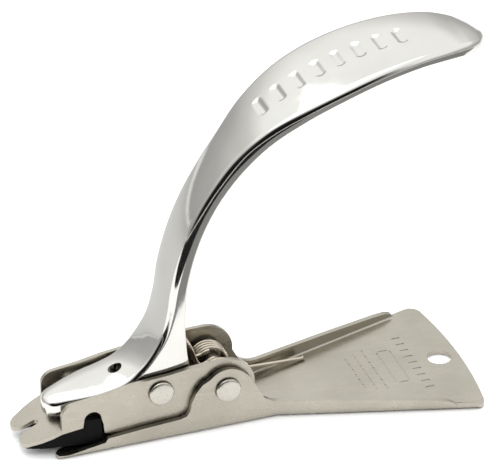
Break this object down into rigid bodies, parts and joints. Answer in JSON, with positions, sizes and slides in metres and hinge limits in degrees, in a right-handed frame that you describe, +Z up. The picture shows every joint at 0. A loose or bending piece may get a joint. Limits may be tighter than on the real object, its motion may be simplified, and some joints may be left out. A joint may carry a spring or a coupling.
{
  "type": "staple remover",
  "caption": "Lever staple remover: forked jaw and curved steel handle hinged on a channel base with a fanned heel plate, returned by a torsion spring.",
  "frame": {"origin": "on the flat underside of the base, straight below the jaw pivot's axis, at mid width", "axes": "+X along the tool from the forked jaw to the heel plate, +Y across it, +Z up from the surface it lies on"},
  "size_m": [0.1407, 0.0556, 0.1122],
  "materials": {
    "satin_nickel": "satin nickel plated sheet steel, faint grain",
    "bright_nickel": "polished nickel plate",
    "black_oxide": "black oxide on hardened steel",
    "rivet_nickel": "nickel plated rivet, softly polished",
    "spring_wire": "plated spring wire"
  },
  "bodies": {
    "base": {"base_frame": "satin_nickel", "pivot_rivet": "rivet_nickel", "spring_sleeve": "rivet_nickel", "torsion_spring": "spring_wire"},
    "jaw": {"jaw_frame": "satin_nickel", "lifter_blade": "black_oxide", "lever_handle": "bright_nickel", "handle_rivet": "rivet_nickel"}
  },
  "joints": [
    {"name": "jaw_pivot", "type": "hinge", "parent": "base", "child": "jaw", "pos_m": [0, 0, 0.0132], "axis": [0, 1, 0], "range_deg": [0, 33], "stiffness_Nm_per_rad": 0.3, "springref_deg": -34.38, "deforming": ["torsion_spring"]}
  ]
}
